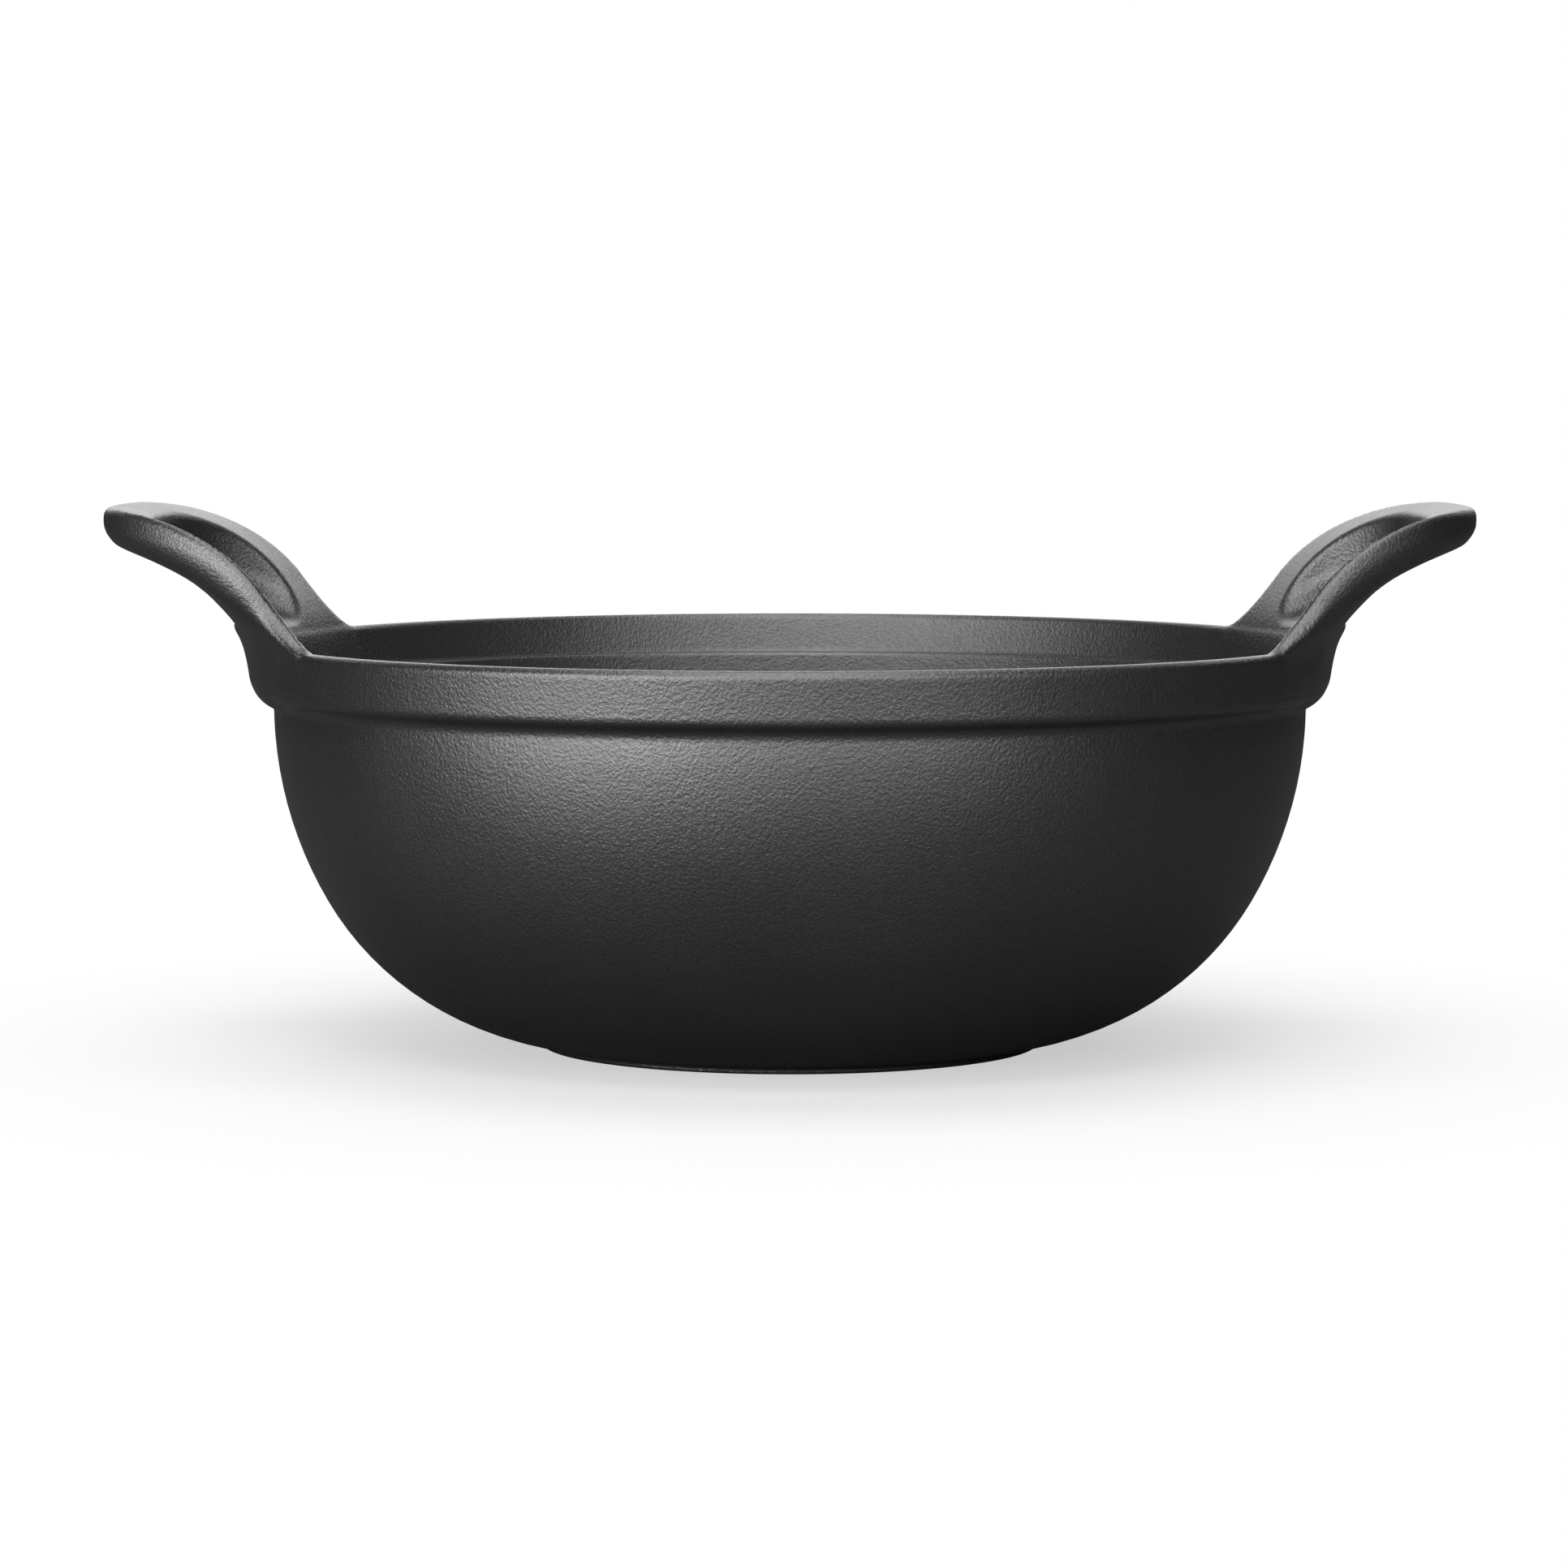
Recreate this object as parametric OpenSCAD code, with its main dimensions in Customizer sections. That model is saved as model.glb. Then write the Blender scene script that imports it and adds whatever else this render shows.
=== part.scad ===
// Cast iron bowl with a collar and two flared loop handles, one casting.
// Millimetres. Origin at the centre of the foot's underside, +Z up,
// the two handles along +X and -X.

/* [Bowl] */
// Outer radius of the wall just under the collar
wall_r = 144.2; // [120:0.1:170]
// Thickness of the wall
wall_t = 4.5; // [3:0.1:6]
// Length of the upright wall under the collar
upright_h = 4.3; // [3.5:0.1:8]
// Depth below the foot that the wall's upper arc would reach if it ran on
upper_arc_below = 12.5; // [8:0.5:20]
// Angle at which the upper arc passes into the lower one
arc_join_angle = 30; // [20:1:38]
// Height at which the lower arc runs level, inside the foot
lower_arc_z = 1; // [0.5:0.1:1.2]
// Distance that the foot's edge lies inwards of the wall
foot_in = 74.2; // [70:0.1:90]
// Height of the foot below the curved wall
foot_h = 2; // [1.5:0.1:3]
// Rounding of the foot's lower edge
foot_round = 0.8; // [0.3:0.1:1.2]

/* [Collar] */
// Height of the rim above the foot's underside
rim_z = 113.7; // [100:0.1:130]
// Distance that the collar stands out from the wall
collar_over = 5.8; // [5.5:0.1:9]
// Thickness of the collar
collar_t = 5; // [4:0.1:6]
// Height of the collar
collar_h = 13.4; // [12.9:0.1:16]
// Depth of the ledge below the rim
ledge_depth = 11.4; // [9:0.1:11.7]
// Rounding of the rim's outer edge
rim_round_out = 2.2; // [1:0.1:2.4]
// Rounding of the rim's inner edge
rim_round_in = 1.2; // [0.8:0.1:1.3]
// Rounding of the collar's lower edge
collar_round = 1.2; // [0.5:0.1:1.3]
// Fillet between the collar and the wall
collar_fillet = 4.3; // [3:0.1:4.3]
// Fillet in the corner of the ledge
ledge_fillet = 1.5; // [1:0.1:2]

/* [Handles] */
// Distance that a handle's tip stands out from the collar
handle_reach = 41.3; // [36:0.1:46]
// Radius of the arc that carries the collar's inside up into the handle
top_arc_r = 48; // [46:0.5:50]
// Depth below the rim at which that arc leaves the collar's inside
flare_below = 11.7; // [9.5:0.1:12.7]
// Slope of the handle's top where that arc ends
top_arc_slope = 22; // [18:1:26]
// Radius of the top's outer arc, towards the tip
top_tip_arc_r = 68; // [60:1:80]
// Distance that the lug under the handle stands out from the collar
lug_proud = 2; // [1.2:0.1:2.5]
// Depth below the rim at which the lug passes into the handle's underside
lug_top_below = 8.2; // [7.8:0.1:9.2]
// Rounding of the lug's lower end
lug_round = 10; // [8:0.1:10.5]
// Half width of the lug
lug_half_w = 48; // [40:0.5:54]
// Radius of the underside's inner arc
under_arc_r = 23; // [22:0.5:25]
// Slope of the underside where that arc ends
under_arc_slope = 50; // [47:1:53]
// Radius of the underside's outer arc, towards the tip
under_tip_arc_r = 72; // [68:1:78]
// Rounding of the tip's upper edge
tip_round_top = 1.8; // [1:0.1:2.5]
// Rounding of the tip's lower edge
tip_round_low = 3.6; // [2:0.1:4.5]
// Half width of the handle at its upper end
handle_top_half_w = 51.7; // [46:0.1:56]
// Half width of the handle at its root, above the rim's fillet
handle_root_half_w = 60; // [56:0.5:64]
// Length over which the handle narrows, from the collar's inside outwards
taper_length = 17; // [12:0.5:21]
// Fillet between the handle's sides and the rim
root_fillet = 13; // [8:0.5:14]
// Radius of the hollow that brings the plate down flush with the collar beside the lug
hollow_r = 12; // [10:0.5:13]
// Rounding of the tip's corners, seen from above
corner_round = 15; // [10:0.5:20]

/* [Finger slots] */
// Width of the handle's side bars
bar_w = 14; // [11:0.5:17]
// Width of the bar along the tip
tip_bar_w = 18.3; // [15:0.1:22]
// Height of the slot's lower edge above the rim
slot_above = 2.8; // [2.3:0.1:6]
// Rounding of the slot's lower corners
slot_low_round = 8; // [4:0.5:12]
// Rounding of the slot's outer corners
slot_tip_round = 9; // [4:0.5:14]

/* [Hidden] */
$fn = 96;
iron = [0.16, 0.16, 0.165];

// Sector of the turned form that a handle is cut from, and facets of a rounded corner
handle_sector = 90;
corner_steps = 6;

// Depth by which neighbouring arcs cross, so that they meet in a clean edge
crossing = 0.03;

// Length by which areas that join overlap, and by which cuts overrun
lap = 1;

// Heights of the collar and of what starts from it
collar_low_z = rim_z - collar_h;
ledge_z = rim_z - ledge_depth;
flare_z = rim_z - flare_below;
lug_top_z = rim_z - lug_top_below;
wing_low_z = rim_z - rim_round_out;
slot_low_z = rim_z + slot_above;

// The wall's two arcs, with their centres in radius and height
wall_straight_z = collar_low_z - upright_h;
upper_arc_r = wall_straight_z + upper_arc_below;
upper_arc_drop = upper_arc_r * sin(arc_join_angle);
lower_arc_r = (wall_straight_z - lower_arc_z - upper_arc_drop) / (1 - sin(arc_join_angle));
upper_c = [wall_r - upper_arc_r, wall_straight_z];
arc_join = upper_c + upper_arc_r * [cos(arc_join_angle), -sin(arc_join_angle)];
lower_c = arc_join + (lower_arc_r - crossing) * [-cos(arc_join_angle), sin(arc_join_angle)];

// Radii of the foot, collar, lug, tip and slot, and where a handle's taper and cuts start
foot_r = wall_r - foot_in;
collar_r = wall_r + collar_over;
collar_in_r = collar_r - collar_t;
lug_r = collar_r + lug_proud;
lug_in_r = wall_r - wall_t / 2;
tip_r = collar_r + handle_reach;
slot_r = tip_r - tip_bar_w;
cut_start_x = collar_in_r / 2;
taper_end_x = collar_in_r + taper_length;

// Centres of a handle's arcs, and the points where they join
top_c = [collar_in_r + top_arc_r, flare_z];
top_join = top_c + top_arc_r * [-sin(top_arc_slope), cos(top_arc_slope)];
top_tip_c = top_join + (top_tip_arc_r + crossing) * [sin(top_arc_slope), -cos(top_arc_slope)];
under_c = [lug_r + under_arc_r, lug_top_z];
under_join = under_c + under_arc_r * [-sin(under_arc_slope), cos(under_arc_slope)];
under_tip_c = under_join + (under_tip_arc_r + crossing) * [sin(under_arc_slope), -cos(under_arc_slope)];
handle_z = top_tip_c[1] + top_tip_arc_r + lap;

function unit(v) = v / norm(v);

// Point at radius x on the upper half of the circle of radius r about c
function on_circle(x, c, r) = [x, c[1] + sqrt(pow(r, 2) - pow(x - c[0], 2))];

// Centres of the roundings along the tip's two edges
tip_top_c = on_circle(tip_r - tip_round_top, top_tip_c, top_tip_arc_r - tip_round_top);
tip_low_c = on_circle(tip_r - tip_round_low, under_tip_c, under_tip_arc_r + tip_round_low);

// Rectangle between two corners
module box2(low, high) {
    translate(low)
        square(high - low);
}

// Area inside the wall's surface, with the surface set inwards by d
module wall_area(d) {
    floor_z = lower_c[1] - lower_arc_r + d + crossing;
    box2([0, wall_straight_z], [wall_r - d, ledge_z + lap]);
    intersection() {
        translate(upper_c)
            circle(r = upper_arc_r - d);
        box2([0, floor_z], [wall_r, ledge_z]);
        union() {
            box2([0, arc_join[1]], [wall_r, ledge_z]);
            box2([0, 0], [lower_c[0], ledge_z]);
            translate(lower_c)
                circle(r = lower_arc_r - d);
        }
    }
}

// Half section of the foot
module foot_section() {
    box2([0, 0], [foot_r - foot_round, foot_h + lap]);
    box2([0, foot_round], [foot_r, foot_h + lap]);
    translate([foot_r - foot_round, foot_round])
        circle(r = foot_round);
}

// Half section of the collar, with the fillet that carries it on the wall
module collar_section() {
    out_c = [collar_r - rim_round_out, rim_z - rim_round_out];
    in_c = [collar_in_r + rim_round_in, rim_z - rim_round_in];
    low_c = [collar_r - collar_round, collar_low_z + collar_round];
    fillet_c = [wall_r + collar_fillet - crossing, collar_low_z - collar_fillet + crossing];
    ledge_c = [collar_in_r - ledge_fillet + crossing, ledge_z + ledge_fillet - crossing];
    box2([collar_in_r, low_c[1]], [collar_r, out_c[1]]);
    box2([collar_in_r, collar_low_z], [low_c[0], in_c[1]]);
    box2([in_c[0], out_c[1]], [out_c[0], rim_z]);
    translate(out_c)
        circle(r = rim_round_out);
    translate(in_c)
        circle(r = rim_round_in);
    translate(low_c)
        circle(r = collar_round);
    difference() {
        box2([wall_r - wall_t, fillet_c[1]], [fillet_c[0], ledge_z]);
        translate(fillet_c)
            circle(r = collar_fillet);
    }
    difference() {
        box2([ledge_c[0], ledge_z - lap], [collar_in_r + lap, ledge_c[1]]);
        translate(ledge_c)
            circle(r = ledge_fillet);
    }
}

// Half section of the whole bowl without its handles
module bowl_section() {
    difference() {
        union() {
            intersection() {
                wall_area(0);
                box2([0, foot_h], [wall_r, ledge_z]);
            }
            foot_section();
        }
        wall_area(wall_t);
    }
    collar_section();
}

// Corner that a rounding of radius r about c takes off, between two directions
module corner_waste(c, r, dir_a, dir_b) {
    reach = 3 * r;
    difference() {
        polygon([c, c + reach * dir_a, c + reach * (dir_a + dir_b), c + reach * dir_b]);
        translate(c)
            circle(r = r + crossing / 2);
    }
}

// Half section of a handle: the flared plate and the lug below it
module handle_section() {
    difference() {
        union() {
            intersection() {
                translate(top_c)
                    circle(r = top_arc_r);
                box2([collar_in_r, lug_top_z], [tip_r, handle_z]);
            }
            intersection() {
                translate(top_tip_c)
                    circle(r = top_tip_arc_r);
                box2([top_join[0], lug_top_z], [tip_r, handle_z]);
            }
        }
        intersection() {
            translate(under_c)
                circle(r = under_arc_r);
            box2([lug_r - lap, lug_top_z - lap], [tip_r + lap, handle_z]);
        }
        intersection() {
            translate(under_tip_c)
                circle(r = under_tip_arc_r);
            box2([under_join[0], lug_top_z - lap], [tip_r + lap, handle_z]);
        }
        corner_waste(tip_top_c, tip_round_top, unit(tip_top_c - top_tip_c), [1, 0]);
        corner_waste(tip_low_c, tip_round_low, unit(under_tip_c - tip_low_c), [1, 0]);
    }
    intersection() {
        translate([lug_r - lug_round, lug_top_z])
            circle(r = lug_round);
        union() {
            box2([lug_in_r, 0], [lug_r, collar_low_z + lap]);
            box2([collar_in_r + lap, 0], [lug_r, lug_top_z]);
        }
    }
    box2([collar_in_r + lap, lug_top_z - lap], [lug_r - lap, lug_top_z + lap]);
}

// Handle seen from the front, as width and height: upright above the rim's fillets,
// and the narrower lug below
module front_outline() {
    fillet_z = rim_z + root_fillet;
    fillet_y = handle_root_half_w + root_fillet;
    box2([-handle_root_half_w, fillet_z - lap], [handle_root_half_w, handle_z]);
    difference() {
        box2([-fillet_y, wing_low_z], [fillet_y, fillet_z]);
        for (side = [-1, 1])
            translate([side * (fillet_y - crossing), fillet_z - crossing])
                circle(r = root_fillet);
    }
    box2([-lug_half_w, 0], [lug_half_w, rim_z]);
}

// Points of an upright-sided outline, seen from above, mirrored about the length
function both_sides(pts) = concat(pts, [for (i = [len(pts) - 1:-1:0]) [pts[i][0], -pts[i][1]]]);

// Centre of the rounding that joins straight sides to an end arc
function corner_centre(end_r, half_w, r) = [sqrt(pow(end_r - r, 2) - pow(half_w - r, 2)), half_w - r];

// Handle seen from above, as length and width, with its corners rounded
module plan_outline() {
    wing_half_w = handle_root_half_w + root_fillet + lap;
    c = corner_centre(tip_r, handle_top_half_w, corner_round);
    step = (90 - atan2(c[1], c[0])) / corner_steps;
    facet_r = corner_round / cos(step / 2) + crossing;
    polygon(both_sides(concat(
        [
            [cut_start_x, wing_half_w],
            [collar_in_r, wing_half_w],
            [collar_in_r, handle_root_half_w],
            [taper_end_x, handle_top_half_w],
        ],
        [for (i = [0:corner_steps - 1]) c + facet_r * [sin(step * (i + 0.5)), cos(step * (i + 0.5))]],
        [[tip_r + lap, c[1] / 2]]
    )));
}

// One finger slot, as the space that is cut through the handle on +X
module finger_slot() {
    low_half_w = handle_root_half_w - bar_w;
    top_half_w = handle_top_half_w - bar_w;
    c = corner_centre(slot_r, top_half_w, slot_tip_round);
    intersection() {
        rotate([90, 0, 90])
            linear_extrude(height = tip_r)
                union() {
                    box2([-low_half_w, slot_low_z + slot_low_round], [low_half_w, handle_z]);
                    box2([slot_low_round - low_half_w, slot_low_z],
                         [low_half_w - slot_low_round, slot_low_z + 2 * slot_low_round]);
                    for (side = [-1, 1])
                        translate([side * (low_half_w - slot_low_round), slot_low_z + slot_low_round])
                            circle(r = slot_low_round);
                }
        linear_extrude(height = handle_z)
            difference() {
                intersection() {
                    circle(r = slot_r);
                    polygon(both_sides([
                        [cut_start_x, low_half_w],
                        [collar_in_r, low_half_w],
                        [taper_end_x, top_half_w],
                        [tip_r, top_half_w],
                    ]));
                }
                for (side = [0, 1])
                    mirror([0, side])
                        corner_waste(c, slot_tip_round, [0, 1], unit(c));
            }
    }
}

// Space outside the handle's plate on both sides of its lug
module hollows() {
    difference() {
        handle_turn()
            translate([collar_r + hollow_r - crossing, wing_low_z])
                circle(r = hollow_r);
        rotate([90, 0, 90])
            linear_extrude(height = tip_r + lap)
                box2([-lug_half_w, 0], [lug_half_w, handle_z]);
    }
}

// Turns a half section over the sector of a handle
module handle_turn() {
    rotate([0, 0, -handle_sector / 2])
        rotate_extrude(angle = handle_sector)
            children();
}

// One flared loop handle, on +X
module handle() {
    difference() {
        intersection() {
            handle_turn()
                handle_section();
            rotate([90, 0, 90])
                linear_extrude(height = tip_r + lap)
                    front_outline();
            linear_extrude(height = handle_z)
                plan_outline();
        }
        finger_slot();
        hollows();
    }
}

// The whole casting
module bowl() {
    color(iron)
        union() {
            rotate_extrude()
                bowl_section();
            for (side = [0, 180])
                rotate([0, 0, side])
                    handle();
        }
}

bowl();
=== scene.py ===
"""Looks of the cast iron bowl: one smooth casting with its iron surface, camera, light and floor.

The casting is the zero level of a field over radius, angle and height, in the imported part's own
frame. Its lengths are millimetres until the mesh is made. Camera, lights and floor are in metres.
"""

import math

import bpy
import numpy as np
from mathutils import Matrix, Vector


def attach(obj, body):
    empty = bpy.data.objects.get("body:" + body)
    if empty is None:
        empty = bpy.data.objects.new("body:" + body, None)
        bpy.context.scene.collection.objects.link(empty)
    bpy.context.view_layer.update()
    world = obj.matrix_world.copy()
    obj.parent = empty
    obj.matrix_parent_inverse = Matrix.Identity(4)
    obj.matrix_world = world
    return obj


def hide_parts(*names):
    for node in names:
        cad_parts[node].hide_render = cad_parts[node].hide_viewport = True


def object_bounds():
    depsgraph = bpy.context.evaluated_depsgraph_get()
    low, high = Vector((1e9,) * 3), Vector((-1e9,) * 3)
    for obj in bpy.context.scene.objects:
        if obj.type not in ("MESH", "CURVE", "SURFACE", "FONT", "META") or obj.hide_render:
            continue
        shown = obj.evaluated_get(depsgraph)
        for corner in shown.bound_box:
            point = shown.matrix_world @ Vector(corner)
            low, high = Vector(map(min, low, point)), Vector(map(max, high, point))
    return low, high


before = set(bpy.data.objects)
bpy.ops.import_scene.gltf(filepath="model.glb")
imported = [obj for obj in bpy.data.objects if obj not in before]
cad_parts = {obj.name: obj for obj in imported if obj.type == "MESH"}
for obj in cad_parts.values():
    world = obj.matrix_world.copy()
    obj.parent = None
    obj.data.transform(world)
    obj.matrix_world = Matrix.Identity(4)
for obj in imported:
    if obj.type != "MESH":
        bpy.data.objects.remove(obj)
cad_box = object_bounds()

MM = 0.001

# The solids' box gives the two driving radii: the handle tips along X and the collar along Y
TIP_R = round(cad_box[1][0] / MM, 1)
COLLAR_R = round(cad_box[1][1] / MM, 1)

# Collar with the ledge inside it; its outside leans in downwards and its inside widens upwards
COLLAR_IN_R = COLLAR_R - 5.0
RIM_Z = 113.7
COLLAR_LOW_Z = RIM_Z - 15.0
LEDGE_Z = RIM_Z - 11.4
COLLAR_LEAN = 0.095
COLLAR_DRAFT = 0.09
RIM_ROUND_OUT = 2.2
RIM_ROUND_IN = 1.3
COLLAR_ROUND = 2.3
COVE_R = 3.4
LEDGE_FILLET = 1.5
LEDGE_ROUND = 0.7
LEDGE_FILLET_FROM_Z = LEDGE_Z - 1.0

# Bowl wall: straight under the collar, then two arcs down to the foot
WALL_R = COLLAR_R - 5.8
WALL_T = 4.5
STRAIGHT_Z = 96.0
UPPER_ARC_R = 108.5
LOWER_ARC_R = 81.5
ARC_JOIN = math.radians(30)
FOOT_R = 70.0
FOOT_H = 2.0
FOOT_ROUND = 0.8

# Handle in half section: start radius, height and heading, then each arc's radius and end heading
TOP_START = (COLLAR_IN_R, 102.0, 0.0)
TOP_ARCS = ((50.0, 70.0), (40.0, 90.0))
UNDER_START = (COLLAR_R + 0.7, 101.0, 4.0)
UNDER_ARCS = ((60.0, 14.0), (21.6, 39.0), (170.0, 42.0), (38.0, 62.0), (110.0, 80.0))
TIP_ROUND_TOP = 2.8
TIP_ROUND_LOW = 4.5
HANDLE_FILLET = 1.0

# The handle is a plate about as thick as the collar, thicker near the tip
PLATE_T = 5.2
PLATE_TIP_T = 7.4
PLATE_TIP_BAND = (-30.0, -4.0)

# Underneath it is thicker inside a margin along its edge, wide at the root and narrow on the bars
MARGIN_BAR = 6.5
MARGIN_ROOT = 20.0
MARGIN_POWER = 2.5
BARS_FROM_Z = RIM_Z + 16.0

# Lug below the handle, where the thicker part ends on the collar
LUG_LOW_Z = 95.4
LUG_ROUND = 9.3
LUG_HALF_W = 46.0
LUG_END_W = 58.0
LUG_END_RISE = 6.0
LUG_RISE_FROM_W = LUG_HALF_W - 12.0
LUG_BLEND_Z = (RIM_Z - 6.0, RIM_Z + 8.0)

# The plate's sides stand straight on the collar below the rim and flare above it
SIDE_FROM_W = LUG_HALF_W - 4.0
SIDE_FLARE_Z = (RIM_Z - 3.0, RIM_Z + 5.0)

# Below the collar the handle's inner face sinks into the wall
SINK = 3.0
SINK_Z = (COLLAR_LOW_Z - 2.0, COLLAR_LOW_Z + 1.2)

# Handle in outline; seen from above its faces are a little flatter than rings about the axis
PLAN_FLAT = 0.00036
ROOT_HALF_W = 62.8
TOP_HALF_W = 61.2
NARROW_FROM_Z = 125.0
NARROW_TO_Z = 150.0
ROOT_FILLET = 15.0
ROOT_FILLET_SUNK = 1.2
CORNER_ROUND = 36.0
EDGE_ROUND_TOP = 1.8
EDGE_ROUND_LOW = 1.5

# Beside a handle the collar's inside follows the handle's top outwards, up to a limit
FOLLOW_W = (ROOT_HALF_W - 5.0, ROOT_HALF_W + 12.0)
FOLLOW_LIMIT = 2.0

# Finger slot, with a floor that rises outwards over a short stretch
BAR_W = 15.2
TIP_BAR_W = 14.3
SLOT_LOW_Z = 116.5
SLOT_RISE = 0.48
SLOT_RISE_FROM_R = COLLAR_IN_R + 2.0
SLOT_RISE_LENGTH = 15.0
SLOT_LOW_ROUND = 8.0
SLOT_TIP_ROUND = 24.0
SLOT_EDGE_ROUND = 1.3

# Under the handle the edge of the slot's floor is rounder, away from its ends
SLOT_FLOOR_ROUND = 3.6
SLOT_FLOOR_W = (32.0, 44.0)
SLOT_FLOOR_Z = (124.0, 132.0)

# Grid for the collar and the handles: a start, then stretches as (end, step); angles in degrees
SEAM_Z = 88.0
ANGLE_STRETCHES = (0.0, (26.0, 0.4), (32.0, 0.75), (90.0, 2.0))
RADIUS_STRETCHES = (136.0, (138.5, 1.25), (152.5, 0.7), (196.0, 1.1))
HEIGHT_STRETCHES = (SEAM_Z, (94.0, 2.0), (118.0, 0.75), (153.0, 1.0))

# Settling of the grid's points on the surface
SETTLE_ROUNDS = 4
SLOPE_STEP = 0.02
LEAST_SLOPE = 0.5
LONGEST_MOVE = 0.5

# Rings of the plain revolve below the seam
UPPER_ARC_STEPS = 10
LOWER_ARC_STEPS = 18
FOOT_ROUND_STEPS = 4
FOOT_HOLLOW = ((1.6, 0.25), (0.5, -0.15), (0.05, -0.6))
FOOT_CLEARANCE = 0.4
UNDERSIDE_RINGS = (60.0, 45.0, 30.0, 15.0, 0.0)
INSIDE_RINGS = (45.0, 30.0, 15.0, 0.0)


# Fields: negative inside, about the distance in millimetres
def smoothstep(low, high, v):
    """Smooth rise from 0 at low to 1 at high."""
    t = np.clip((v - low) / (high - low), 0.0, 1.0)
    return t * t * (3.0 - 2.0 * t)


def round_union(a, b, r):
    """Union of two fields with a fillet of radius r."""
    return np.maximum(r, np.minimum(a, b)) - np.hypot(np.maximum(r - a, 0.0), np.maximum(r - b, 0.0))


def round_cut(a, b, r):
    """Intersection of two fields with its edge rounded to radius r."""
    return np.minimum(-r, np.maximum(a, b)) + np.hypot(np.maximum(r + a, 0.0), np.maximum(r + b, 0.0))


def arc_rise(radius, up):
    """How far an arc that starts upright has turned outwards at a height above its start."""
    return radius - np.sqrt(np.maximum(radius ** 2 - up ** 2, 0.0))


def arc_chain(rho, z, start, arcs):
    """Distance outside a profile of arcs that turns steadily outwards, from a start point and heading."""
    x, height, heading = start
    heading = math.radians(heading)
    field = None
    for radius, end in arcs:
        centre = (x + radius * math.cos(heading), height - radius * math.sin(heading))
        reach = np.hypot(rho - centre[0], z - centre[1]) - radius
        if field is None:
            field = reach
        else:
            past = (rho - x) * math.sin(heading) + (z - height) * math.cos(heading) > 0.0
            field = np.where(past, reach, field)
        heading = math.radians(end)
        x = centre[0] - radius * math.cos(heading)
        height = centre[1] + radius * math.sin(heading)
    return field


def collar_lean(z):
    """How far the collar's outside leans in below the rim."""
    return COLLAR_LEAN * np.clip(RIM_Z - z, 0.0, RIM_Z - COLLAR_LOW_Z)


def top_flare(z):
    """How far the first arc of the handle's top has turned outwards at a height."""
    radius = TOP_ARCS[0][0]
    return arc_rise(radius, np.clip(z - TOP_START[1], 0.0, radius))


def wall_field(rho, z):
    """The upper wall, which ends in the ledge."""
    arc_centre = WALL_R - UPPER_ARC_R
    from_axis = np.where(z < STRAIGHT_Z, np.hypot(rho - arc_centre, z - STRAIGHT_Z) + arc_centre, rho)
    wall = np.maximum(from_axis - WALL_R, WALL_R - WALL_T - from_axis)
    return round_cut(wall, z - LEDGE_Z, LEDGE_ROUND)


def collar_field(rho, across, z):
    """The collar, whose inside follows the handles' tops beside them."""
    follow = (1.0 - smoothstep(*FOLLOW_W, across)) * np.minimum(top_flare(z), FOLLOW_LIMIT)
    draft = COLLAR_DRAFT * np.clip(z - LEDGE_Z, 0.0, RIM_Z - LEDGE_Z)
    inside = COLLAR_IN_R + np.maximum(follow, draft) - rho
    outside = rho - COLLAR_R + collar_lean(z)
    collar = np.maximum(
        round_cut(outside, z - RIM_Z, RIM_ROUND_OUT),
        round_cut(inside, z - RIM_Z, RIM_ROUND_IN),
    )
    return np.maximum(collar, round_cut(outside, COLLAR_LOW_Z - z, COLLAR_ROUND))


def body_field(rho, across, z):
    """Wall and collar, joined with a small fillet on the ledge and a larger one in the cove."""
    wall = wall_field(rho, z)
    collar = collar_field(rho, across, z)
    with_ledge = round_union(wall, collar, LEDGE_FILLET)
    with_cove = round_union(wall, collar, COVE_R)
    return np.where(z > LEDGE_FILLET_FROM_Z, with_ledge, with_cove)


def half_width(z):
    """Half width of the handle by height, without the flare at its root."""
    return ROOT_HALF_W - (ROOT_HALF_W - TOP_HALF_W) * smoothstep(NARROW_FROM_Z, NARROW_TO_Z, z)


def root_flare(z):
    """How much wider each side gets towards the rim."""
    up = np.clip(z - RIM_Z + ROOT_FILLET_SUNK, ROOT_FILLET_SUNK, ROOT_FILLET)
    return arc_rise(ROOT_FILLET, ROOT_FILLET - up)


def into_bars(z):
    """Rise from 0 at the rim to 1 where the root has parted into the two bars."""
    return smoothstep(RIM_Z, BARS_FROM_Z, z)


def plate_underside(rho, across, z, top, tip):
    """Underside of the plate, which goes on as the collar's outside below the handle."""
    at_side = smoothstep(SIDE_FROM_W, ROOT_HALF_W, across) * (1.0 - smoothstep(*SIDE_FLARE_Z, z))
    thickness = PLATE_T + (PLATE_TIP_T - PLATE_T) * smoothstep(*PLATE_TIP_BAND, tip)
    plate = np.where(z < TOP_START[1], rho - COLLAR_R, -top - thickness + at_side * top_flare(z))
    return round_cut(plate + collar_lean(z), COLLAR_LOW_Z - z, COLLAR_ROUND)


def thick_underside(rho, across, z):
    """Underside of the thicker part, which runs down into the lug."""
    thick = np.where(z < UNDER_START[1], rho - UNDER_START[0], -arc_chain(rho, z, UNDER_START, UNDER_ARCS))
    lug_low = LUG_LOW_Z + LUG_END_RISE * smoothstep(LUG_RISE_FROM_W, LUG_END_W, across)
    return round_cut(thick, lug_low - z, LUG_ROUND)


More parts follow.
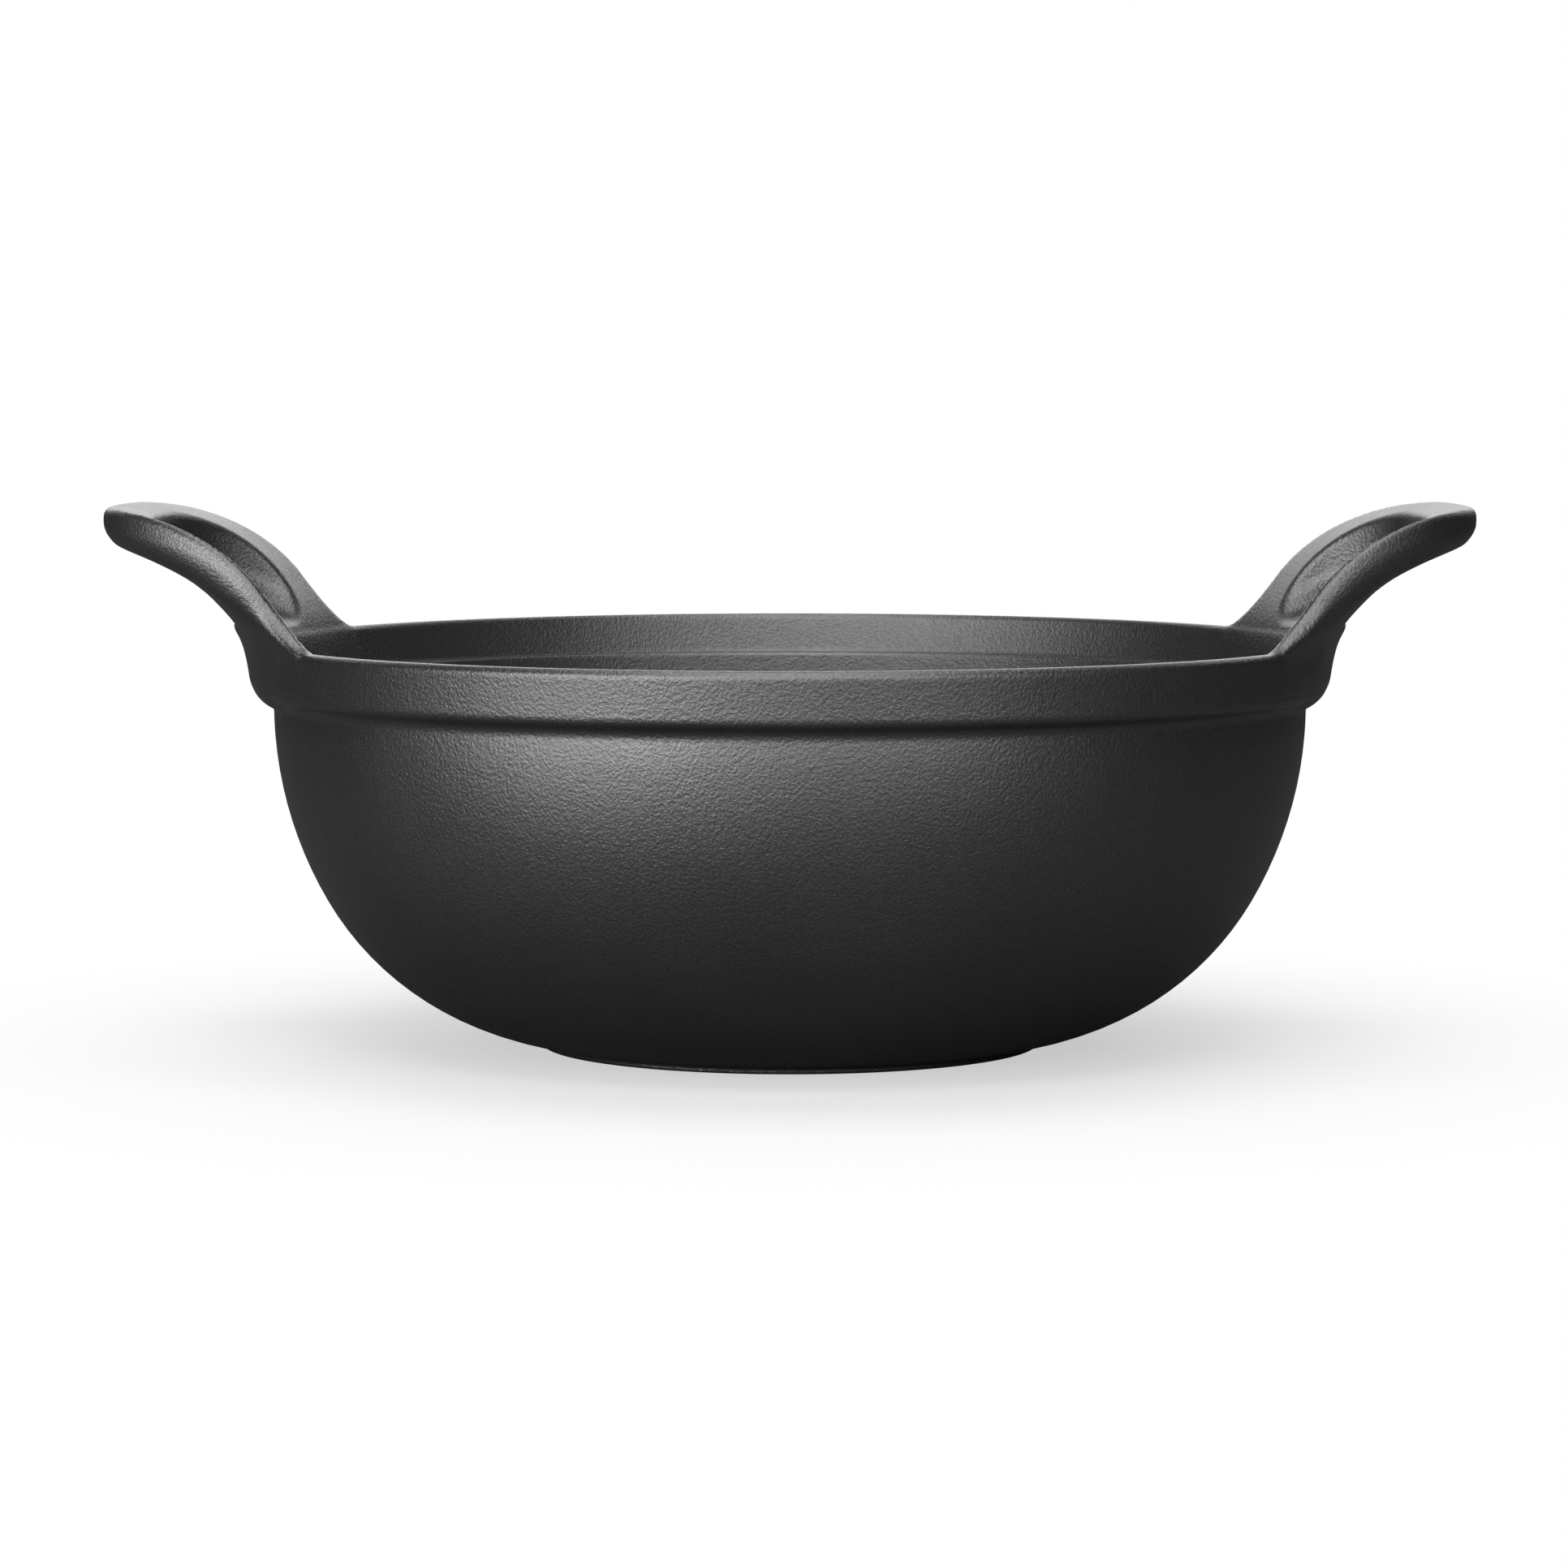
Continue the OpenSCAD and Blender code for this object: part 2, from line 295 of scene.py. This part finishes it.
def thick_share(across, z, outline):
    """How much of the underside is the thicker part's: 0 at the outline, 1 inside the margin."""
    margin = MARGIN_ROOT + (MARGIN_BAR - MARGIN_ROOT) * into_bars(z)
    loop_share = 1.0 - np.clip(1.0 + outline / margin, 0.0, 1.0) ** MARGIN_POWER
    lug_share = 1.0 - smoothstep(LUG_HALF_W, LUG_END_W, across)
    return lug_share + smoothstep(*LUG_BLEND_Z, z) * (loop_share - lug_share)


def slot_field(rho, across, z):
    """The finger slot between the bars."""
    low = SLOT_LOW_Z + SLOT_RISE * np.clip(rho - SLOT_RISE_FROM_R, 0.0, SLOT_RISE_LENGTH)
    slot = round_cut(across - (half_width(z) - BAR_W), rho - (TIP_R - TIP_BAR_W), SLOT_TIP_ROUND)
    return round_cut(slot, low - z, SLOT_LOW_ROUND)


def handle_field(rho, across, z):
    """Both handles with their lugs."""
    tip = rho - TIP_R
    outline = round_cut(across - half_width(z) - root_flare(z), tip, CORNER_ROUND)
    rho = rho - PLAN_FLAT * across ** 2 * into_bars(z)
    slot = slot_field(rho, across, z)

    arcs = arc_chain(rho, z, TOP_START, TOP_ARCS)
    sunk = SINK * (1.0 - smoothstep(*SINK_Z, z))
    top = np.where(z < TOP_START[1], COLLAR_IN_R - sunk - rho, arcs)
    top = round_cut(round_cut(top, tip, TIP_ROUND_TOP), outline, EDGE_ROUND_TOP)
    top = round_cut(top, -slot, SLOT_EDGE_ROUND)

    plate = plate_underside(rho, across, z, arcs, tip)
    thick = thick_underside(rho, across, z)
    under = plate + thick_share(across, z, outline) * (thick - plate)
    under = round_cut(round_cut(under, tip, TIP_ROUND_LOW), outline, EDGE_ROUND_LOW)
    at_slot_floor = (1.0 - smoothstep(*SLOT_FLOOR_W, across)) * (1.0 - smoothstep(*SLOT_FLOOR_Z, z))
    edge_round = SLOT_EDGE_ROUND + (SLOT_FLOOR_ROUND - SLOT_EDGE_ROUND) * at_slot_floor
    under = round_cut(under, -slot, edge_round)
    return np.maximum(top, under)


def casting(x, y, z):
    """The whole casting above the seam."""
    rho = np.hypot(x, y)
    across = np.abs(y)
    return round_union(body_field(rho, across, z), handle_field(rho, across, z), HANDLE_FILLET)


# Mesh of the collar and the handles, found on a grid round the axis
def grid_lines(stretches):
    """Coordinates from a start through (end, step) stretches."""
    lines = [stretches[0]]
    for end, step in stretches[1:]:
        start = lines[-1]
        count = max(1, round((end - start) / step))
        lines.extend(start + (end - start) * (i + 1) / count for i in range(count))
    return np.array(lines)


def angle_lines():
    """Angles round the axis, fine at the two handles."""
    quarter = grid_lines(ANGLE_STRETCHES)
    first_half = np.concatenate([-quarter[:0:-1], quarter[:-1]])
    return np.radians(np.concatenate([first_half, first_half + 180.0]))


def angle_steps(angles):
    """Step from each angle to the next, closing the round."""
    return np.diff(np.append(angles, angles[0] + 2.0 * math.pi))


def along(values, axis):
    """Values laid along one axis of the grid."""
    return values.reshape([-1 if n == axis else 1 for n in range(3)])


def cell_corner(values, corner):
    """The values at one corner of every cell, with corner as three steps of 0 or 1."""
    turn, out, up = corner
    cells = (values.shape[1] - 1, values.shape[2] - 1)
    return np.roll(values, -turn, axis=0)[:, out:out + cells[0], up:up + cells[1]]


def net_points(field, angles, radii, heights):
    """A point in each cell that the surface passes through: the mean of its crossings with the edges.

    Also returns the number of each cell's point, with -1 where a cell has none."""
    lines = (angles, radii[:-1], heights[:-1])
    steps = (angle_steps(angles), np.diff(radii), np.diff(heights))
    shape = tuple(len(line) for line in lines)
    total = np.zeros(shape + (3,))
    count = np.zeros(shape)
    for axis in range(3):
        for first in ((0, 0), (0, 1), (1, 0), (1, 1)):
            low = first[:axis] + (0,) + first[axis:]
            high = first[:axis] + (1,) + first[axis:]
            a = cell_corner(field, low)
            b = cell_corner(field, high)
            crossed = (a < 0.0) != (b < 0.0)
            share = np.where(crossed, a / np.where(crossed, a - b, 1.0), 0.0)
            for n in range(3):
                place = along(lines[n] + low[n] * steps[n], n)
                if n == axis:
                    place = place + share * along(steps[n], n)
                total[..., n] += np.where(crossed, place, 0.0)
            count += crossed
    used = count > 0
    number = np.full(shape, -1)
    number[used] = np.arange(used.sum())
    turn, radius, height = (total[used] / count[used][:, None]).T
    return np.stack([radius * np.cos(turn), radius * np.sin(turn), height], axis=-1), number


def net_quads(inside, number):
    """A quad for each step of the grid on which inside changes, between the four cells round it."""
    before = np.roll(number, 1, axis=0)
    quads = []

    def add(here, there, cells):
        crossed = here != there
        picked = np.stack([cell[crossed] for cell in cells], axis=-1)
        entering = ~here[crossed]
        picked[entering] = picked[entering][:, ::-1]
        quads.append(picked)

    mid = slice(1, -1)
    add(inside[:, mid, mid], np.roll(inside, -1, axis=0)[:, mid, mid],
        [number[:, :-1, :-1], number[:, :-1, 1:], number[:, 1:, 1:], number[:, 1:, :-1]])
    add(inside[:, :-1, mid], inside[:, 1:, mid],
        [before[:, :, :-1], number[:, :, :-1], number[:, :, 1:], before[:, :, 1:]])
    add(inside[:, mid, :-1], inside[:, mid, 1:],
        [before[:, :-1], before[:, 1:], number[:, 1:], number[:, :-1]])
    return np.concatenate(quads)


def settle(points):
    """Moves points onto the zero level of the field."""
    for _ in range(SETTLE_ROUNDS):
        value = casting(*points.T)
        rises = [
            casting(*(points + offset).T) - casting(*(points - offset).T)
            for offset in np.eye(3) * SLOPE_STEP
        ]
        slope = np.stack(rises, axis=-1) / (2.0 * SLOPE_STEP)
        steepness = np.maximum((slope ** 2).sum(axis=1), LEAST_SLOPE ** 2)
        move = slope * (value / steepness)[:, None]
        points = points - np.clip(move, -LONGEST_MOVE, LONGEST_MOVE)
    return points


def surface_net(angles):
    """Points, quads and cell numbers of the casting above the seam."""
    radii = grid_lines(RADIUS_STRETCHES)
    heights = grid_lines(HEIGHT_STRETCHES)
    shape = (len(angles), len(radii), len(heights))
    x = np.broadcast_to(along(radii, 1) * np.cos(along(angles, 0)), shape)
    y = np.broadcast_to(along(radii, 1) * np.sin(along(angles, 0)), shape)
    field = casting(x, y, np.broadcast_to(heights, shape))
    points, number = net_points(field, angles, radii, heights)
    return settle(points), net_quads(field < 0.0, number), number


# Mesh of the bowl below the seam, a plain revolve stitched to the net above it
def arc_points(centre, radius, start, end, steps):
    """Points of an arc that turns down and inwards, with its angles counted from level."""
    angles = np.linspace(start, end, steps + 1)
    return [(centre[0] + radius * math.cos(a), centre[1] - radius * math.sin(a)) for a in angles]


def lower_profile(inset):
    """Wall profile from the seam down to where the bowl's bottom is level, as radius and height."""
    upper_centre = (WALL_R - UPPER_ARC_R, STRAIGHT_Z)
    shift = UPPER_ARC_R - LOWER_ARC_R
    lower_centre = (upper_centre[0] + shift * math.cos(ARC_JOIN), STRAIGHT_Z - shift * math.sin(ARC_JOIN))
    upper_r = UPPER_ARC_R - inset
    start = math.asin((STRAIGHT_Z - SEAM_Z) / upper_r)
    upper = arc_points(upper_centre, upper_r, start, ARC_JOIN, UPPER_ARC_STEPS)
    lower = arc_points(lower_centre, LOWER_ARC_R - inset, ARC_JOIN, math.pi / 2, LOWER_ARC_STEPS)
    return upper[:-1] + lower


def outer_profile():
    """Outside from the seam down to the foot and in to the centre of its underside."""
    points = [p for p in lower_profile(0.0) if p[1] > FOOT_H + FOOT_CLEARANCE]
    points.extend((FOOT_R + out, FOOT_H + up) for out, up in FOOT_HOLLOW)
    round_centre = (FOOT_R - FOOT_ROUND, FOOT_ROUND)
    points.extend(arc_points(round_centre, FOOT_ROUND, 0.0, math.pi / 2, FOOT_ROUND_STEPS))
    points.extend((radius, 0.0) for radius in UNDERSIDE_RINGS)
    return points


def inner_profile():
    """Inside from the seam down to the centre of the bowl's bottom."""
    points = lower_profile(WALL_T)
    bottom_z = points[-1][1]
    points.extend((radius, bottom_z) for radius in INSIDE_RINGS)
    return points


def stitch(above, ring, outward):
    """Quads between two rings of point numbers, or triangles where the lower ring is one point."""
    faces = []
    for i in range(len(above)):
        j = (i + 1) % len(above)
        corners = [above[i], ring[i], ring[j], above[j]]
        if ring[i] == ring[j]:
            corners = [above[i], ring[i], above[j]]
        faces.append(tuple(corners if outward else corners[::-1]))
    return faces


def revolve(profile, turns, seam, first, outward):
    """Points and faces of a revolved profile that hangs on a seam of point numbers."""
    points = []
    faces = []
    above = seam
    for radius, height in profile:
        if radius == 0.0:
            points.append(np.array([[0.0, 0.0, height]]))
            ring = np.full(len(turns), first)
        else:
            level = np.full(len(turns), height)
            points.append(np.stack([radius * np.cos(turns), radius * np.sin(turns), level], axis=-1))
            ring = first + np.arange(len(turns))
        first += len(points[-1])
        faces.extend(stitch(above, ring, outward))
        above = ring
    return np.concatenate(points), faces


def build_bowl():
    """Points and faces of the whole casting, as one closed surface."""
    angles = angle_lines()
    points, quads, number = surface_net(angles)
    faces = [tuple(quad) for quad in quads.tolist()]

    lowest = [row[row >= 0] for row in number[:, :, 0]]
    outer_seam = np.array([cells.max() for cells in lowest])
    inner_seam = np.array([cells.min() for cells in lowest])
    turns = angles + angle_steps(angles) / 2.0
    sides = ((outer_profile(), outer_seam, True), (inner_profile(), inner_seam, False))
    for profile, seam, outward in sides:
        more_points, more_faces = revolve(profile, turns, seam, len(points), outward)
        points = np.concatenate([points, more_points])
        faces.extend(more_faces)
    return points, faces


def add_to_scene(piece):
    """Links a new object to the scene."""
    bpy.context.scene.collection.objects.link(piece)
    return piece


def make_piece(name, points, faces):
    """Smooth object from points in millimetres."""
    mesh = bpy.data.meshes.new(name)
    mesh.from_pydata((points * MM).tolist(), [], faces)
    mesh.validate()
    mesh.polygons.foreach_set("use_smooth", [True] * len(mesh.polygons))
    mesh.update()
    return add_to_scene(bpy.data.objects.new(name, mesh))


casting_piece = make_piece("bowl_casting", *build_bowl())

# Iron: base tone and roughness vary a little, and two bumps give the grain of a sand casting
IRON_METALLIC = 0.96
IRON_DARK = (0.135, 0.135, 0.135, 1.0)
IRON_PALE = (0.165, 0.165, 0.165, 1.0)
CLOUD_NOISE = {"scale": 22.0, "detail": 3.0}
PEEL_NOISE = {"scale": 1150.0, "detail": 3.0, "roughness": 0.6}
GRAIN_NOISE = {"scale": 2100.0, "detail": 2.0}
CLOUD_ROUGHNESS = (0.34, 0.40)
GRAIN_ROUGHNESS = (0.0, 0.08)
PEEL_BUMP = {"strength": 1.0, "distance": 0.00022}
GRAIN_BUMP = {"strength": 0.6, "distance": 0.00006}
NOISE_SPREAD = (0.3, 0.7)
PEEL_SPREAD = (0.35, 0.65)


def node(tree, kind, **settings):
    """A new node with its settings."""
    made = tree.nodes.new(kind)
    for key, value in settings.items():
        setattr(made, key, value)
    return made


def noise(tree, place, scale, detail, roughness=0.5):
    """Noise over the object's own coordinates."""
    made = node(tree, "ShaderNodeTexNoise")
    made.inputs["Scale"].default_value = scale
    made.inputs["Detail"].default_value = detail
    made.inputs["Roughness"].default_value = roughness
    tree.links.new(place.outputs["Object"], made.inputs["Vector"])
    return made.outputs["Fac"]


def ramp(tree, value, spread, result, **settings):
    """Maps a value from one range to another."""
    made = node(tree, "ShaderNodeMapRange", **settings)
    made.inputs["From Min"].default_value, made.inputs["From Max"].default_value = spread
    made.inputs["To Min"].default_value, made.inputs["To Max"].default_value = result
    tree.links.new(value, made.inputs["Value"])
    return made.outputs["Result"]


def bump(tree, height, strength, distance):
    """A bump node over a height."""
    made = node(tree, "ShaderNodeBump")
    made.inputs["Strength"].default_value = strength
    made.inputs["Distance"].default_value = distance
    tree.links.new(height, made.inputs["Height"])
    return made


def iron_material():
    """Dark seasoned iron with the fine grain of a sand casting."""
    material = bpy.data.materials.new("seasoned_iron")
    material.use_nodes = True
    tree = material.node_tree
    link = tree.links.new
    shader = tree.nodes["Principled BSDF"]
    shader.inputs["Metallic"].default_value = IRON_METALLIC
    place = node(tree, "ShaderNodeTexCoord")
    cloud = noise(tree, place, **CLOUD_NOISE)
    peel = noise(tree, place, **PEEL_NOISE)
    grain = noise(tree, place, **GRAIN_NOISE)

    tone = node(tree, "ShaderNodeMix", data_type="RGBA")
    tone.inputs["A"].default_value = IRON_DARK
    tone.inputs["B"].default_value = IRON_PALE
    link(ramp(tree, peel, PEEL_SPREAD, (0.0, 1.0)), tone.inputs["Factor"])
    link(tone.outputs["Result"], shader.inputs["Base Color"])

    rough = node(tree, "ShaderNodeMath", operation="ADD")
    link(ramp(tree, cloud, NOISE_SPREAD, CLOUD_ROUGHNESS), rough.inputs[0])
    link(ramp(tree, grain, NOISE_SPREAD, GRAIN_ROUGHNESS), rough.inputs[1])
    link(rough.outputs["Value"], shader.inputs["Roughness"])

    coarse = bump(tree, peel, **PEEL_BUMP)
    fine = bump(tree, grain, **GRAIN_BUMP)
    link(coarse.outputs["Normal"], fine.inputs["Normal"])
    link(fine.outputs["Normal"], shader.inputs["Normal"])
    return material


casting_piece.data.materials.append(iron_material())
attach(casting_piece, "root")
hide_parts("bowl")

# Camera, as fitted to the photo
PHOTO_WIDTH = 1932.0
FOCAL_PIXELS = 7040.0
SENSOR = 36.0
CAMERA_DISTANCE = 1.6
CAMERA_HEIGHT = 0.2011
CAMERA_SIDE = -0.00166
CAMERA_PITCH = 0.07983
CAMERA_RANGE = 50.0

camera_data = bpy.data.cameras.new("camera")
camera_data.sensor_width = SENSOR
camera_data.lens = SENSOR * FOCAL_PIXELS / PHOTO_WIDTH
camera_data.clip_end = CAMERA_RANGE
camera = add_to_scene(bpy.data.objects.new("camera", camera_data))
camera.location = (CAMERA_SIDE, -CAMERA_DISTANCE, CAMERA_HEIGHT)
camera.rotation_euler = (math.pi / 2 - CAMERA_PITCH, 0.0, 0.0)
bpy.context.scene.camera = camera


def panel(name, turn, distance, low, high, width, radiance, lean=0.0):
    """Soft light between two heights, at an angle round the bowl from the camera's side towards +X.

    It stands upright and faces the axis, or leans over by an angle. Both angles are in degrees."""
    height = high - low
    data = bpy.data.lights.new(name, "AREA")
    data.shape = "RECTANGLE"
    data.size = width
    data.size_y = height
    data.energy = radiance * math.pi * width * height
    light = add_to_scene(bpy.data.objects.new(name, data))
    turn = math.radians(turn)
    light.location = (distance * math.sin(turn), -distance * math.cos(turn), (low + high) / 2.0)
    light.rotation_euler = (math.pi / 2 - math.radians(lean), 0.0, turn)
    light.visible_camera = False


# The low key from the front left makes the bright patch on the wall; the rest fills the dark iron
panel("key_low", turn=-42.0, distance=1.6, low=0.02, high=0.32, width=1.22, radiance=10.8)
panel("key_high", turn=-40.0, distance=1.6, low=0.32, high=1.0, width=1.1, radiance=1.8)
panel("front_low", turn=-9.0, distance=1.6, low=0.02, high=0.36, width=0.62, radiance=3.0)
panel("front", turn=8.0, distance=1.9, low=0.42, high=1.2, width=1.8, radiance=3.0)
panel("front_right_low", turn=27.0, distance=1.6, low=0.02, high=0.42, width=0.62, radiance=3.1)
panel("front_above", turn=-4.0, distance=1.1, low=1.15, high=1.75, width=1.1, radiance=5.2, lean=50.0)
panel("back", turn=180.0, distance=1.7, low=0.4, high=1.4, width=1.7, radiance=2.5)
panel("back_left", turn=-138.0, distance=1.7, low=0.6, high=1.5, width=0.8, radiance=0.9)
panel("back_right", turn=138.0, distance=1.7, low=0.6, high=1.5, width=0.8, radiance=1.5)
panel("top", turn=180.0, distance=0.1, low=1.5, high=2.5, width=1.2, radiance=4.0, lean=90.0)

WHITE = (1.0, 1.0, 1.0, 1.0)
FILL_LIGHT = 0.025


def switch_for_camera(tree, seen, others):
    """One shader for camera rays and another for all the rest."""
    path = node(tree, "ShaderNodeLightPath")
    switch = node(tree, "ShaderNodeMixShader")
    tree.links.new(path.outputs["Is Camera Ray"], switch.inputs["Fac"])
    tree.links.new(others, switch.inputs[1])
    tree.links.new(seen, switch.inputs[2])
    return switch.outputs["Shader"]


def white_studio():
    """World that looks white and gives only a little light."""
    world = bpy.data.worlds.new("studio")
    bpy.context.scene.world = world
    world.use_nodes = True
    tree = world.node_tree
    fill = tree.nodes["Background"]
    fill.inputs["Color"].default_value = WHITE
    fill.inputs["Strength"].default_value = FILL_LIGHT
    white = node(tree, "ShaderNodeBackground")
    white.inputs["Color"].default_value = WHITE
    shader = switch_for_camera(tree, seen=white.outputs["Background"], others=fill.outputs["Background"])
    tree.links.new(shader, tree.nodes["World Output"].inputs["Surface"])


white_studio()

# Floor
FLOOR_HALF = 6.0
FLOOR_PALE = (0.85, 0.85, 0.85, 1.0)
FLOOR_BOUNCE = (0.11, 0.11, 0.11, 1.0)
FLOOR_ROUGHNESS = 0.9
FADE_DISTANCE = (0.09, 0.30)
FADE_WHITE = (0.55, 1.0)


def floor_material():
    """Pale floor that shows the shadow near the bowl and runs out into white."""
    material = bpy.data.materials.new("floor_pale")
    material.use_nodes = True
    tree = material.node_tree
    link = tree.links.new
    pale = tree.nodes["Principled BSDF"]
    pale.inputs["Base Color"].default_value = FLOOR_PALE
    pale.inputs["Roughness"].default_value = FLOOR_ROUGHNESS
    pale.inputs["Specular IOR Level"].default_value = 0.0
    glow = node(tree, "ShaderNodeEmission")
    place = node(tree, "ShaderNodeTexCoord")
    length = node(tree, "ShaderNodeVectorMath", operation="LENGTH")
    link(place.outputs["Object"], length.inputs[0])
    from_bowl = length.outputs["Value"]
    white_share = ramp(tree, from_bowl, FADE_DISTANCE, FADE_WHITE, interpolation_type="SMOOTHSTEP")
    seen = node(tree, "ShaderNodeMixShader")
    link(white_share, seen.inputs["Fac"])
    link(pale.outputs["BSDF"], seen.inputs[1])
    link(glow.outputs["Emission"], seen.inputs[2])

    bounce = node(tree, "ShaderNodeBsdfDiffuse")
    bounce.inputs["Color"].default_value = FLOOR_BOUNCE
    shader = switch_for_camera(tree, seen=seen.outputs["Shader"], others=bounce.outputs["BSDF"])
    link(shader, tree.nodes["Material Output"].inputs["Surface"])
    return material


floor_mesh = bpy.data.meshes.new("floor")
floor_corners = [(x * FLOOR_HALF, y * FLOOR_HALF, 0.0) for x, y in ((-1, -1), (1, -1), (1, 1), (-1, 1))]
floor_mesh.from_pydata(floor_corners, [], [(0, 1, 2, 3)])
floor_mesh.materials.append(floor_material())
floor = add_to_scene(bpy.data.objects.new("floor", floor_mesh))

bpy.context.scene.view_settings.view_transform = "Standard"
